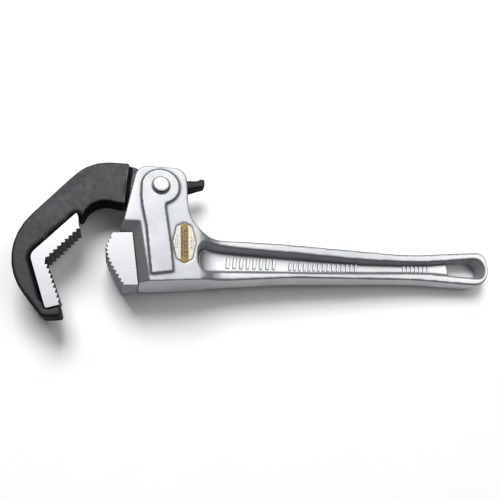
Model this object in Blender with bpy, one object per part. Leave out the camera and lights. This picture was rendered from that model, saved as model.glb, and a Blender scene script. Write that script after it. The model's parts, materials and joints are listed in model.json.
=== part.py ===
"""One-hand pipe wrench, 18 inch: an aluminium I-beam handle whose forked head carries a swinging hook jaw.

Outlines are in millimetres in the plane of the wrench, measured from the pivot pin's axis: x runs along
the handle, y towards the back of the hook, z through the thickness, with z = 0 on the middle plane.
"""

import math

import bmesh
import bpy
from mathutils import Matrix, Vector

MM = 0.001

# Driving dimensions, in millimetres
HOOK_REACH = 117.9  # pivot to the back of the hook
HANDLE_REACH = 339.2  # pivot to the end of the handle
HOOK_TOP = 27.2  # pivot to the top of the hook
HOOK_BOTTOM = -114.2  # pivot to the tip of the hook
HEAD_HALF = 22.0  # half the thickness of the forked head
BOSS_HALF = 24.0  # half the thickness over the raised keyhole bosses
SLOT_HALF = 9.5  # half the width of the slot between the cheeks
SLOT_RADIUS = 25.4
HUB_HALF = 7.9  # half the thickness of the hook jaw's hub and lever
SHANK_HALF = 9.2  # half the thickness of the hook jaw beside the head
NOSE_HALF = 11.2  # half the thickness of the hook jaw's nose
INSERT_HALF = 12.5
HEEL_HALF = 16.0
WEB_HALF = 3.5
HUB_RADIUS = 16.0
SHOULDER_RADIUS = 28.3  # where the hook jaw thins down to its hub
PIN_RADIUS = 5.5
PIN_HEAD_RADIUS = 6.7
TOOTH_PITCH = 4.05
TOOTH_DEPTH = 2.0
GAP = 0.3  # left between pieces that touch

# The cam lobe is an involute of this circle, so the plunger moves CAM_RADIUS for each radian of the jaw
CAM_RADIUS = 8.0
CAM_HEIGHT = 19.6  # contact point below the pivot at rest
BORE_RADIUS = 5.5
BORE_MOUTH = -18.0
BORE_FLOOR = -62.0
SPRING_TOP = -25.6
SPRING_FLOOR = -60.2
SPRING_COIL_RADIUS = 3.9
SPRING_WIRE_RADIUS = 0.75
SPRING_TURNS = 10

SEAT_TOP = ((-34.7, -42.2), (-22.6, -41.5))  # the shelf that the heel jaw butts up against
SEAT_FOOT = (-16.9, -86.9)
HEEL_PINS = {"heel_jaw_pin_upper": (-5.3, -57.0), "heel_jaw_pin_lower": (-3.6, -73.0)}
HEEL_PIN_RADIUS = 2.3
LABEL_CENTRE = (20.6, -51.4)
LABEL_RECESS = 0.9  # how deep the label's seat is cut into the head's face
BUSH_RADIUS = 7.5
THRUST_RADIUS = 14.0
TONGUE = (-30.0, -1.0, -80.6, -49.6)  # the heel jaw's tongue: low and high x, low and high y
TONGUE_HALF = 4.7
CLEAR = 100.0  # further out than any outline reaches
HOLE_START = 294.0  # where the web ends and the hang hole begins

# Where the pivot lies in the part's own frame, whose origin is under the middle of its box
PIVOT = Vector(
    (
        (HOOK_REACH - HANDLE_REACH) / 2,
        -(HOOK_TOP + HOOK_BOTTOM) / 2,
        BOSS_HALF,
    )
) * MM


# Outlines


def arc(centre, radius, start, end, steps):
    """Points on an arc, with its angles in degrees."""
    points = []
    for i in range(steps + 1):
        angle = math.radians(start + (end - start) * i / steps)
        points.append((centre[0] + radius * math.cos(angle), centre[1] + radius * math.sin(angle)))
    return points


def rounded(corners, step=15.0):
    """An outline from (x, y) or (x, y, radius) corners, with a fillet where a radius is given."""
    points = []
    for i, corner in enumerate(corners):
        here = Vector(corner[:2])
        radius = corner[2] if len(corner) > 2 else 0.0
        before = (Vector(corners[i - 1][:2]) - here).normalized()
        after = (Vector(corners[(i + 1) % len(corners)][:2]) - here).normalized()
        half = before.angle(after) / 2
        if radius == 0 or half > math.radians(89.5):
            points.append(tuple(here))
            continue
        middle = here + (before + after).normalized() * radius / math.sin(half)
        first = here + before * radius / math.tan(half) - middle
        last = here + after * radius / math.tan(half) - middle
        turn = math.copysign(math.pi - 2 * half, first.x * last.y - first.y * last.x)
        steps = max(1, round(math.degrees(abs(turn)) / step))
        for k in range(steps + 1):
            spun = Matrix.Rotation(turn * k / steps, 2) @ first
            points.append(tuple(middle + spun))
    return points


def offset(outline, distance):
    """The same outline moved sideways: outwards where the distance is above zero."""
    area = sum(a[0] * b[1] - b[0] * a[1] for a, b in zip(outline, outline[1:] + outline[:1]))
    sign = math.copysign(1, area)
    moved = []
    for i, point in enumerate(outline):
        here = Vector(point)
        before = (here - Vector(outline[i - 1])).normalized()
        after = (Vector(outline[(i + 1) % len(outline)]) - here).normalized()
        normal = Vector((before.y + after.y, -before.x - after.x)).normalized() * sign
        miter = max(0.3, normal.dot(Vector((after.y, -after.x)) * sign))
        moved.append(tuple(here + normal * distance / miter))
    return moved


def along(path, distance):
    """The point that far along a polyline, and the direction there."""
    for a, b in zip(path, path[1:]):
        a, b = Vector(a), Vector(b)
        length = (b - a).length
        if distance <= length or b == Vector(path[-1]):
            direction = (b - a).normalized()
            return a + direction * distance, direction
        distance -= length
    return None


def teeth(path, side):
    """A saw-toothed edge along a polyline, its tips on the line and its roots on the given side of it."""
    total = sum((Vector(b) - Vector(a)).length for a, b in zip(path, path[1:]))
    count = round(total / TOOTH_PITCH)
    points = []
    for i in range(count):
        tip, _ = along(path, total * (i + 0.15) / count)
        root, direction = along(path, total * (i + 0.85) / count)
        inward = Vector((-direction.y, direction.x)) * side
        points += [tuple(tip), tuple(root + inward * TOOTH_DEPTH)]
    points.append(tuple(path[-1]))
    return points


def cam_lobe(first, last, steps=10):
    """The lobe's involute, between two roll angles in radians."""
    points = []
    for i in range(steps + 1):
        roll = first + (last - first) * i / steps
        line = CAM_HEIGHT + CAM_RADIUS * roll
        x = CAM_RADIUS * math.cos(roll) + line * math.sin(roll)
        y = CAM_RADIUS * math.sin(roll) - line * math.cos(roll)
        points.append((x, y))
    return points


# Solids


def add_object(name, mesh_source, material=None):
    """Turns a bmesh in millimetres into an object at the pivot, with outward faces."""
    bmesh.ops.recalc_face_normals(mesh_source, faces=mesh_source.faces)
    mesh = bpy.data.meshes.new(name)
    mesh_source.to_mesh(mesh)
    mesh_source.free()
    mesh.transform(Matrix.Scale(MM, 4))
    mesh.shade_smooth()
    mesh.set_sharp_from_angle(angle=math.radians(35))
    obj = bpy.data.objects.new(name, mesh)
    bpy.context.collection.objects.link(obj)
    obj.parent = bpy.data.objects["pivot_frame"]
    if material:
        mesh.materials.append(material)
    else:
        obj.hide_render = True
        obj.display_type = "WIRE"
    return obj


def prism_mesh(low, high, z_low, z_high):
    """A bmesh between two outlines with the same number of points."""
    solid = bmesh.new()
    rings = []
    for outline, z in ((low, z_low), (high, z_high)):
        rings.append([solid.verts.new((x, y, z)) for x, y in outline])
    solid.faces.new(list(reversed(rings[0])))
    solid.faces.new(rings[1])
    count = len(low)
    for i in range(count):
        j = (i + 1) % count
        solid.faces.new((rings[0][i], rings[0][j], rings[1][j], rings[1][i]))
    return solid


def prism(name, outline, z_low, z_high, material=None, high=None):
    """An upright solid on an outline, with an outline of its own at the top if one is given."""
    return add_object(name, prism_mesh(outline, high or outline, z_low, z_high), material)


def tapered_plate(name, outline, stations, half_at, material):
    """A plate whose half thickness follows half_at(x), straight between the stations."""
    solid = prism_mesh(outline, outline, -1.0, 1.0)
    for x in stations:
        parts = solid.verts[:] + solid.edges[:] + solid.faces[:]
        bmesh.ops.bisect_plane(solid, geom=parts, plane_co=(x, 0, 0), plane_no=(1, 0, 0))
    for vert in solid.verts:
        vert.co.z *= half_at(vert.co.x)
    return add_object(name, solid, material)


def turned(name, profile, material=None, steps=32):
    """A solid of revolution about z from (radius, z) points; a point at radius 0 lies on the axis."""
    solid = bmesh.new()
    rings = []
    for radius, z in profile:
        if radius == 0:
            rings.append([solid.verts.new((0, 0, z))] * steps)
            continue
        rings.append([solid.verts.new((x, y, z)) for x, y in arc((0, 0), radius, 0, 360, steps)[:-1]])
    closed = all(radius > 0 for radius, _ in profile)
    pairs = list(zip(rings, rings[1:])) + ([(rings[-1], rings[0])] if closed else [])
    for lower, upper in pairs:
        for i in range(steps):
            j = (i + 1) % steps
            face = dict.fromkeys((lower[i], lower[j], upper[j], upper[i]))
            solid.faces.new(list(face))
    return add_object(name, solid, material)


def drill(name, start, direction, profile, steps=24):
    """A turned cutter whose axis starts at a point and runs along a direction."""
    return aim(turned(name, profile, steps=steps), start, direction)


def aim(obj, start, direction):
    """Puts a turned object's axis at a point, in millimetres, along a direction."""
    obj.location = Vector(start) * MM
    obj.rotation_euler = Vector(direction).to_track_quat("Z", "Y").to_euler()
    return obj


def rod(radius, low, high):
    return [(0, low), (radius, low), (radius, high), (0, high)]


def ring(inner, outer, low, high):
    return [(inner, low), (outer, low), (outer, high), (inner, high)]


def combine(target, tool, operation="DIFFERENCE"):
    modifier = target.modifiers.new(tool.name, "BOOLEAN")
    modifier.object = tool
    modifier.operation = operation
    modifier.solver = "EXACT"


def soften(obj, width, segments=2):
    """Rounds the sharp edges by a width in millimetres."""
    modifier = obj.modifiers.new("edges", "BEVEL")
    modifier.width = width * MM
    modifier.segments = segments
    modifier.limit_method = "ANGLE"
    modifier.angle_limit = math.radians(50)


def make_material(name, colour, roughness, metallic):
    material = bpy.data.materials.new(name)
    material.use_nodes = True
    shader = material.node_tree.nodes["Principled BSDF"]
    shader.inputs["Base Color"].default_value = (*colour, 1)
    shader.inputs["Roughness"].default_value = roughness
    shader.inputs["Metallic"].default_value = metallic
    return material


# The handle casting

HANDLE_CORNERS = [
    (*SEAT_TOP[0], 2),
    (-31.0, -33.5),
    (-20.3, 19.5, 12),
    (22.9, 19.5, 11.5),
    (25.6, -45.3, 30),
    (105, -46.1, 150),
    (246, -52.2, 200),
    (300, -47.8, 300),
    (339, -45.2, 10),
    (HANDLE_REACH, -60, 60),
    (338, -83.0, 20),
    (250, -78.2, 300),
    (120, -79.4, 300),
    (60, -83.2, 200),
    SEAT_FOOT,
    SEAT_TOP[1],
]
THICKNESS = [  # half the casting's thickness at distances along the handle
    (34, HEAD_HALF),
    (39, 20.6),
    (46, 17.6),
    (53, 15.6),
    (62, 14.8),
    (130, 14.3),
    (235, 11.5),
    (300, 9.4),
]


def handle_half(x):
    """Half the thickness of the casting at a distance along the handle."""
    if x <= THICKNESS[0][0]:
        return THICKNESS[0][1]
    for (x0, t0), (x1, t1) in zip(THICKNESS, THICKNESS[1:]):
        if x <= x1:
            return t0 + (t1 - t0) * (x - x0) / (x1 - x0)
    return THICKNESS[-1][1]


def keyhole_outline():
    """The raised boss: a disc around the pivot, with a leaning stem down the head."""
    disc = arc((0, -0.5), 16.6, -74, 184, 22)
    stem = [(-16.7, -9), (-15.5, -20), (-11.8, -38), (-7.2, -80.4), (11.1, -77.8), (8.6, -52.3), (4.4, -21)]
    return disc + stem


def pocket_outline():
    """The rim of the pocket beside the web, whose right end is round for the hang hole."""
    corners = [
        (32.4, -49.2, 9),
        (72, -52.4, 100),
        (190, -58.4, 300),
        (258, -58.6, 200),
        (335.2, -51.0, 11),
        (335.2, -76.0, 11),
        (262, -71.6, 200),
        (150, -74.4, 200),
        (32.4, -75.6, 9),
    ]
    return rounded(corners, 12)


def hole_outline():
    corners = [(HOLE_START, -54.9), (HOLE_START, -73.6), (332.8, -73.6, 9.2), (332.8, -53.4, 9.2)]
    return rounded(corners, 12)


def label_outline(centre, scale=1.0):
    """A tall octagon with slightly rounded corners."""
    right = [(0, 18.5), (7.0, 14.6), (10.4, 0), (7.0, -14.6)]
    corners = right + [(-x, -y) for x, y in right]
    return rounded([(centre[0] + x * scale, centre[1] + y * scale, 2) for x, y in corners], 20)


def tongue_outline():
    low_x, high_x, low_y, high_y = TONGUE
    return [(low_x, high_y), (high_x, high_y), (high_x, low_y), (low_x, low_y)]


def step_cutter(name, side):
    """Slopes the head's face down to the heel jaw's, above it and behind it."""
    low = [(-CLEAR, -43.6), SEAT_TOP[1], (-14.6, -105), (-CLEAR, -105)]
    high = [(-CLEAR, -34.0), (-15.6, -31.4), (-4.3, -105), (-CLEAR, -105)]
    z_low, z_high = side * HEEL_HALF, side * (HEAD_HALF + 1)
    return prism(name, low, z_low, z_high, high=high)


def slot_cutter():
    """The slot for the hook jaw: open above and on both sides, round below the hub."""
    left = [(-CLEAR, CLEAR), (-CLEAR, -29.5), (-26, -28.5)]
    below = arc((0, 0), SLOT_RADIUS, 232, 342, 14)
    right = [(CLEAR, -9.0), (CLEAR, CLEAR)]
    return prism("slot_cutter", left + below + right, -SLOT_HALF, SLOT_HALF)


def make_handle(aluminium):
    stations = [x for x, _ in THICKNESS]
    handle = tapered_plate("handle", rounded(HANDLE_CORNERS, 12), stations, handle_half, aluminium)
    for side, word in ((1, "front"), (-1, "back")):
        boss = prism(
            f"boss_{word}",
            offset(keyhole_outline(), 0.6),
            side * (HEAD_HALF - 1),
            side * BOSS_HALF,
            high=offset(keyhole_outline(), -0.4),
        )
        combine(handle, boss, "UNION")
    for side, word in ((1, "front"), (-1, "back")):
        combine(handle, step_cutter(f"step_cutter_{word}", side))
        pocket = prism(
            f"pocket_cutter_{word}",
            offset(pocket_outline(), -2.4),
            side * WEB_HALF,
            side * (HEAD_HALF + 4),
            high=offset(pocket_outline(), 0.8),
        )
        combine(handle, pocket)
        recess = prism(
            f"label_cutter_{word}",
            label_outline(LABEL_CENTRE, 1.03),
            side * (HEAD_HALF - LABEL_RECESS),
            side * (HEAD_HALF + 4),
        )
        combine(handle, recess)
    combine(handle, prism("hole_cutter", hole_outline(), -WEB_HALF - 1, WEB_HALF + 1))
    combine(handle, slot_cutter())
    combine(handle, turned("pin_cutter", rod(PIN_RADIUS + 0.1, -40, 40)))
    combine(handle, turned("ring_cutter", rod(9.2, -BOSS_HALF - 4, -BOSS_HALF + 3.6)))
    bore = rod(BORE_RADIUS, 0, BORE_MOUTH - BORE_FLOOR)
    combine(handle, drill("bore_cutter", (CAM_RADIUS, BORE_MOUTH, 0), (0, -1, 0), bore))
    tongue_slot = offset(tongue_outline(), 0.4)
    tongue_cutter = prism("tongue_cutter", tongue_slot, -TONGUE_HALF - GAP, TONGUE_HALF + GAP)
    combine(handle, tongue_cutter)
    for name, (x, y) in HEEL_PINS.items():
        cutter = drill(f"{name}_cutter", (x, y, 13.5), (0, 0, -1), rod(HEEL_PIN_RADIUS + GAP, 0, 50), 20)
        combine(handle, cutter)
    return handle


# The hook jaw and its insert

UPPER_BACK = ((-69.4, -24.4), (-103.9, -63.1))  # the insert's upper back face


def hook_corners():
    hub = arc((0, 0), HUB_RADIUS, 222, 256, 3)
    throat = arc((-45, -31), 19.6, 166, 72, 10)
    lever = [(20.6, -8), (18.6, 1.6), (26.4, 5.6), (38.0, 9.3), (42.6, 10.6), (42.4, 17.8), (38.6, 18.2)]
    lever += [(35.2, 15.6), (25, 14.4), (9, 14.0), (0, 16.4), (-16, 21.0), (-22.8, 23.4)]
    back = [
        (-25.0, HOOK_TOP, 2),
        (-60.9, HOOK_TOP - 0.3, 42),
        (-HOOK_REACH, -42.6, 55),
        (-HOOK_REACH, -80.6, 54),
        (-91.4, HOOK_BOTTOM, 5),
        (-76.0, HOOK_BOTTOM + 0.8, 2),
        (-78.0, -104.9),
        (-89.1, -108.1, 2),
        (-104.2, -63.1, 8),
        (-69.4, -24.0),
        (-67.7, -29.2),
    ]
    return rounded(back, 9) + throat + [(-31.6, -12.7)] + hub + cam_lobe(-0.42, 0.46) + lever


def hook_half(x):
    """Half the thickness of the hook jaw: thin at the hub, growing towards the nose."""
    if x > -45:
        return SHANK_HALF
    return SHANK_HALF + (NOSE_HALF - SHANK_HALF) * min(1.0, (-45 - x) / 35)


def behind_insert(share):
    """A point part of the way along the insert's upper back face, and the outward direction there."""
    a, b = Vector(UPPER_BACK[0]), Vector(UPPER_BACK[1])
    direction = (b - a).normalized()
    return a.lerp(b, share), Vector((direction.y, -direction.x))


# Each screw's place along the insert's upper back face, and how far behind that face its head is seated
SCREWS = {"insert_screw_upper": (0.22, 18.6), "insert_screw_lower": (0.66, 17.0)}
SCREW_RADIUS = 2.9
SCREW_HEAD_RADIUS = 4.8
SCREW_HEAD_HEIGHT = 5.0
SCREW_DEPTH = 5.5  # how far a screw goes into the insert


def make_hook_jaw(steel):
    outline = hook_corners()
    hook = tapered_plate("hook_jaw", outline, [-80, -45], hook_half, steel)
    soften(hook, 1.3)
    for side, word in ((1, "front"), (-1, "back")):
        hub = arc((0, 0), SHOULDER_RADIUS, 0, 360, 48)[:-1]
        combine(hook, prism(f"hub_cutter_{word}", hub, side * HUB_HALF, side * HEAD_HALF))
        lever = [(20, -30), (CLEAR, -30), (CLEAR, 40), (20, 40)]
        combine(hook, prism(f"lever_cutter_{word}", lever, side * HUB_HALF, side * HEAD_HALF))
    combine(hook, turned("bush_cutter", rod(BUSH_RADIUS + GAP, -HEAD_HALF, HEAD_HALF)))
    for name, (share, seat) in SCREWS.items():
        start, outward = behind_insert(share)
        profile = [
            (0, -2),
            (SCREW_RADIUS + GAP, -2),
            (SCREW_RADIUS + GAP, seat),
            (SCREW_HEAD_RADIUS + GAP, seat),
            (SCREW_HEAD_RADIUS + GAP, seat + 30),
            (0, seat + 30),
        ]
        combine(hook, drill(f"{name}_hook_cutter", (*start, 0), (*outward, 0), profile))
    return hook


def insert_outline():
    seat = [(-68.0, -29.3), (-69.5, -24.6, 1), (-103.9, -63.2, 8), (-88.9, -107.7, 2), (-78.1, -104.6)]
    lower = teeth([(-79.2, -103.4), (-89.6, -75.5), (-91.6, -71.6)], -1)
    upper = teeth([(-91.8, -66.2), (-90.6, -64.2), (-67.0, -37.4)], -1)
    return rounded(seat, 12) + lower + upper


def make_insert(bright):
    insert = prism("hook_insert", insert_outline(), -INSERT_HALF, INSERT_HALF, bright)
    for name, (share, _) in SCREWS.items():
        start, outward = behind_insert(share)
        hole = rod(SCREW_RADIUS + GAP, -SCREW_DEPTH - 0.5, 4)
        combine(insert, drill(f"{name}_insert_cutter", (*start, 0), (*outward, 0), hole))
    return insert


def make_insert_screws(black):
    for name, (share, seat) in SCREWS.items():
        start, outward = behind_insert(share)
        profile = [
            (0, -SCREW_DEPTH),
            (SCREW_RADIUS, -SCREW_DEPTH),
            (SCREW_RADIUS, seat + GAP),
            (SCREW_HEAD_RADIUS, seat + GAP),
            (SCREW_HEAD_RADIUS, seat + SCREW_HEAD_HEIGHT),
            (0, seat + SCREW_HEAD_HEIGHT),
        ]
        screw = aim(turned(name, profile, black, 24), (*start, 0), (*outward, 0))
        key = prism(f"{name}_key_cutter", arc((0, 0), 2.9, 0, 360, 6)[:-1], seat + 2.6, seat + 9)
        combine(screw, aim(key, (*start, 0), (*outward, 0)))


# The heel jaw


def make_heel_jaw(bright):
    front = rounded([(-40.6, -44.8), (-46.2, -54.5, 16), (-43.2, -67.5, 40), (-30.4, -88.6)], 9)
    edge = teeth(front, 1)
    outline = edge + [(-17.4, -88.4), (-23.0, -41.8), (-39.4, -42.8)]
    heel = prism("heel_jaw", outline, -HEEL_HALF, HEEL_HALF, bright)
    tongue = prism("heel_tongue", tongue_outline(), -TONGUE_HALF, TONGUE_HALF)
    combine(heel, tongue, "UNION")
    for name, (x, y) in HEEL_PINS.items():
        cutter = drill(f"{name}_tongue_cutter", (x, y, 15), (0, 0, -1), rod(HEEL_PIN_RADIUS + GAP, 0, 30), 20)
        combine(heel, cutter)
    return heel


def make_heel_pins(steel):
    low, high, chamfer = -22.6, 13.1, 0.4
    profile = [
        (0, low),
        (HEEL_PIN_RADIUS - chamfer, low),
        (HEEL_PIN_RADIUS, low + chamfer),
        (HEEL_PIN_RADIUS, high - chamfer),
        (HEEL_PIN_RADIUS - chamfer, high),
        (0, high),
    ]
    for name, (x, y) in HEEL_PINS.items():
        pin = turned(name, profile, steel, 20)
        pin.location = Vector((x, y, 0)) * MM


# The pivot


def make_pivot(bright, steel, black, bronze):
    neck = BOSS_HALF + 1.6  # where the pin's head begins
    turned(
        "pivot_pin",
        [
            (0, -23.7),
            (4.9, -23.7),
            (PIN_RADIUS, -23.2),
            (PIN_RADIUS, -22.7),
            (4.8, -22.7),
            (4.8, -21.3),
            (PIN_RADIUS, -21.3),
            (PIN_RADIUS, neck),
            (PIN_HEAD_RADIUS, neck),
            (PIN_HEAD_RADIUS, neck + 1.4),
            (6.1, neck + 2.1),
            (0, neck + 2.4),
        ],
        bright,
        40,
    )
    turned("pivot_bush", ring(PIN_RADIUS + 0.1, BUSH_RADIUS, -HUB_HALF, HUB_HALF), bronze, 40)
    for side, word in ((1, "front"), (-1, "back")):
        low, high = sorted((side * (HUB_HALF + 0.25), side * (SLOT_HALF - 0.25)))
        turned(f"thrust_washer_{word}", ring(PIN_RADIUS + 0.2, THRUST_RADIUS, low, high), bronze, 40)
    turned("pivot_washer_front", ring(PIN_RADIUS + 0.2, 8.2, BOSS_HALF + 0.2, BOSS_HALF + 1.3), black, 40)
    turned("pivot_washer_back", ring(PIN_RADIUS + 0.2, 8.8, -21.0, -20.6), bright, 40)
    inner = arc((0, 0), 5.0, 35, 325, 24)
    outer = arc((0, 0), 8.0, 325, 35, 24)
    clip = prism("pivot_retaining_ring", inner + outer, -22.5, -21.5, steel)
    clip.rotation_euler.z = math.radians(90)


# The closing spring under the cam lobe


def make_spring_parts(steel, spring_steel):
    plunger_profile = [
        (0, 0),
        (4.4, 0),
        (5.2, 0.8),
        (5.2, 5.0),
        (2.6, 5.0),
        (2.6, 25.0),
        (0, 25.0),
    ]
    plunger = turned("spring_plunger", plunger_profile, steel)
    aim(plunger, (CAM_RADIUS, -CAM_HEIGHT - GAP, 0), (0, -1, 0))
    seat = turned("spring_seat", ring(2.0, 5.2, 0, 1.2), steel)
    aim(seat, (CAM_RADIUS, BORE_FLOOR + GAP, 0), (0, 1, 0))
    make_spring(spring_steel)


def make_spring(spring_steel):
    """A compression spring with its end turns closed, as a tube swept along a helix."""
    sides, per_turn = 8, 16
    count = SPRING_TURNS * per_turn
    wire = 2 * SPRING_WIRE_RADIUS
    closed_pitch = wire * 1.08
    active_turns = SPRING_TURNS - 2
    free = SPRING_TOP - SPRING_FLOOR - wire
    solid = bmesh.new()
    rings = []
    for i in range(count + 1):
        turn = i / per_turn
        inner = min(max(turn - 1, 0), active_turns)
        height = (turn - inner) * closed_pitch + inner * (free - 2 * closed_pitch) / active_turns
        angle = math.tau * turn
        outward = Vector((math.cos(angle), math.sin(angle), 0))
        centre = outward * SPRING_COIL_RADIUS + Vector((0, 0, height + SPRING_WIRE_RADIUS))
        circle = []
        for k in range(sides):
            around = math.tau * k / sides
            spoke = outward * math.cos(around) + Vector((0, 0, math.sin(around)))
            circle.append(solid.verts.new(centre + spoke * SPRING_WIRE_RADIUS))
        rings.append(circle)
    for a, b in zip(rings, rings[1:]):
        for k in range(sides):
            j = (k + 1) % sides
            solid.faces.new((a[k], a[j], b[j], b[k]))
    solid.faces.new(rings[0])
    solid.faces.new(rings[-1])
    spring = add_object("return_spring", solid, spring_steel)
    aim(spring, (CAM_RADIUS, SPRING_FLOOR, 0), (0, 1, 0))


def make_labels(foil):
    for side, word in ((1, "front"), (-1, "back")):
        z = sorted((side * (HEAD_HALF - 0.7), side * (HEAD_HALF + 0.1)))
        prism(f"label_{word}", label_outline(LABEL_CENTRE), *z, foil)


def main():
    for obj in list(bpy.data.objects):
        bpy.data.objects.remove(obj)
    frame = bpy.data.objects.new("pivot_frame", None)
    bpy.context.collection.objects.link(frame)
    frame.location = PIVOT

    aluminium = make_material("cast_aluminium", (0.80, 0.81, 0.82), 0.42, 0.6)
    black_steel = make_material("black_forging", (0.06, 0.06, 0.07), 0.45, 0.5)
    bright_steel = make_material("bright_steel", (0.78, 0.79, 0.80), 0.35, 0.8)
    plain_steel = make_material("plain_steel", (0.45, 0.46, 0.48), 0.4, 0.9)
    bronze = make_material("bronze", (0.55, 0.37, 0.16), 0.4, 0.9)
    foil = make_material("label_foil", (0.42, 0.33, 0.12), 0.4, 0.4)

    make_handle(aluminium)
    make_hook_jaw(black_steel)
    make_insert(bright_steel)
    make_insert_screws(black_steel)
    make_heel_jaw(bright_steel)
    make_heel_pins(plain_steel)
    make_pivot(bright_steel, plain_steel, black_steel, bronze)
    make_spring_parts(plain_steel, plain_steel)
    make_labels(foil)


main()
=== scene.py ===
"""The looks of the pipe wrench: cast, forged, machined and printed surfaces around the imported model.

Shapes are given in millimetres from the pivot pin's axis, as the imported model's own outlines are:
x along the handle, y towards the back of the hook, z out of the front face from the middle plane.
"""

import json
import math

import bmesh
import bpy
import numpy as np
from mathutils import Matrix, Vector
from mathutils.bvhtree import BVHTree


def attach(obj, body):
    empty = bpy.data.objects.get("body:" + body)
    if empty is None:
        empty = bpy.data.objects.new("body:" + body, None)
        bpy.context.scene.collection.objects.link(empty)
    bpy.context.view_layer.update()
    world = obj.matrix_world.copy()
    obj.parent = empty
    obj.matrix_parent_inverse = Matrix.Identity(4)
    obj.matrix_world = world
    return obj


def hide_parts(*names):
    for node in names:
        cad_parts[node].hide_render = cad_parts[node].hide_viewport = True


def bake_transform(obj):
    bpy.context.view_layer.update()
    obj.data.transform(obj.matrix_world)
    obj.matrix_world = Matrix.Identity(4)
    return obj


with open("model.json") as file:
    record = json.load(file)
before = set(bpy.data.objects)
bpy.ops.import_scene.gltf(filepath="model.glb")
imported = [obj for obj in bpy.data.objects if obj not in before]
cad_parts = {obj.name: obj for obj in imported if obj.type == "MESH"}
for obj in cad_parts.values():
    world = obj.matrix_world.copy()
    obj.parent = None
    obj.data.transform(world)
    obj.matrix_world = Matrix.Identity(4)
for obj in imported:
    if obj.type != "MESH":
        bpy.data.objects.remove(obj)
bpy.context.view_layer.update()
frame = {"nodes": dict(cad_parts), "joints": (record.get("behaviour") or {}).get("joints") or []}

MM = 0.001
HINGE = next(joint for joint in frame["joints"] if joint["name"] == "hook_pivot")
PIVOT = Vector(HINGE["pos_m"])


def at(x, y, z=0.0):
    """A point in the row frame, in metres, from millimetres about the pivot."""
    return PIVOT + Vector((x, y, z)) * MM


# Outlines

STRAIGHT = math.radians(89.5)  # half of a corner's angle past which the corner counts as straight
SHARPEST_MITER = 0.3


def arc(centre, radius, start, end, steps):
    """Points on an arc, with its angles in degrees."""
    points = []
    for i in range(steps + 1):
        angle = math.radians(start + (end - start) * i / steps)
        points.append((centre[0] + radius * math.cos(angle), centre[1] + radius * math.sin(angle)))
    return points


def rounded(corners, step=10.0):
    """An outline from (x, y) or (x, y, radius) corners, with a fillet where a radius is given."""
    points = []
    for i, corner in enumerate(corners):
        here = Vector(corner[:2])
        radius = corner[2] if len(corner) > 2 else 0.0
        before = (Vector(corners[i - 1][:2]) - here).normalized()
        after = (Vector(corners[(i + 1) % len(corners)][:2]) - here).normalized()
        half = before.angle(after) / 2
        if radius == 0 or half > STRAIGHT:
            points.append(tuple(here))
            continue
        middle = here + (before + after).normalized() * radius / math.sin(half)
        first = here + before * radius / math.tan(half) - middle
        last = here + after * radius / math.tan(half) - middle
        turn = math.copysign(math.pi - 2 * half, first.x * last.y - first.y * last.x)
        steps = max(1, round(math.degrees(abs(turn)) / step))
        for k in range(steps + 1):
            points.append(tuple(middle + Matrix.Rotation(turn * k / steps, 2) @ first))
    return points


def offset(outline, distance):
    """The same outline moved sideways: outwards where the distance is above zero."""
    area = sum(a[0] * b[1] - b[0] * a[1] for a, b in zip(outline, outline[1:] + outline[:1]))
    sign = math.copysign(1, area)
    moved = []
    for i, point in enumerate(outline):
        here = Vector(point)
        before = (here - Vector(outline[i - 1])).normalized()
        after = (Vector(outline[(i + 1) % len(outline)]) - here).normalized()
        normal = Vector((before.y + after.y, -before.x - after.x)).normalized() * sign
        miter = max(SHARPEST_MITER, normal.dot(Vector((after.y, -after.x)) * sign))
        moved.append(tuple(here + normal * distance / miter))
    return moved


# Meshes

WELD = 2e-6
COPLANAR = math.radians(0.5)
BEVELLED = math.radians(28)  # edges that turn more than this get a bevel
BEND_BLUR = 3  # how many times the edge and corner values are averaged with their neighbours
BEND_GAIN = 14


def new_object(name, mesh, material):
    obj = bpy.data.objects.new(name, mesh)
    bpy.context.collection.objects.link(obj)
    if material:
        mesh.materials.append(material)
    return obj


def finish_mesh(name, solid, material, place=None, sharp=40):
    """Turns a bmesh in millimetres about the pivot into an object in the row frame."""
    bmesh.ops.recalc_face_normals(solid, faces=solid.faces)
    mesh = bpy.data.meshes.new(name)
    solid.to_mesh(mesh)
    solid.free()
    mesh.transform(Matrix.Translation(PIVOT) @ Matrix.Scale(MM, 4) @ (place or Matrix()))
    mesh.shade_smooth()
    mesh.set_sharp_from_angle(angle=math.radians(sharp))
    return new_object(name, mesh, material)


def aim(start, direction):
    """The placement of a turned piece whose axis starts at a point and runs along a direction."""
    turn = Vector(direction).to_track_quat("Z", "Y").to_matrix().to_4x4()
    return Matrix.Translation(Vector(start)) @ turn


def loft(solid, rings, material_index=0):
    """Faces between outlines of the same length, each with its height, and a cap on both ends."""
    rows = [[solid.verts.new((x, y, z)) for x, y in outline] for outline, z in rings]
    faces = [solid.faces.new(list(reversed(rows[0]))), solid.faces.new(rows[-1])]
    count = len(rows[0])
    for low, high in zip(rows, rows[1:]):
        for i in range(count):
            j = (i + 1) % count
            faces.append(solid.faces.new((low[i], low[j], high[j], high[i])))
    for face in faces:
        face.material_index = material_index


def turned(name, profile, material, place=None, steps=96):
    """A solid of revolution about z from (radius, z) or (radius, z, fillet) corners."""
    solid = bmesh.new()
    rows = []
    for radius, z in rounded(profile, 22.5):
        if radius < 1e-6:
            rows.append([solid.verts.new((0, 0, z))] * steps)
            continue
        rows.append([solid.verts.new((x, y, z)) for x, y in arc((0, 0), radius, 0, 360, steps)[:-1]])
    closed = all(corner[0] > 0 for corner in profile)
    for low, high in list(zip(rows, rows[1:])) + ([(rows[-1], rows[0])] if closed else []):
        for i in range(steps):
            j = (i + 1) % steps
            solid.faces.new(list(dict.fromkeys((low[i], low[j], high[j], high[i]))))
    return finish_mesh(name, solid, material, place)


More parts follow.
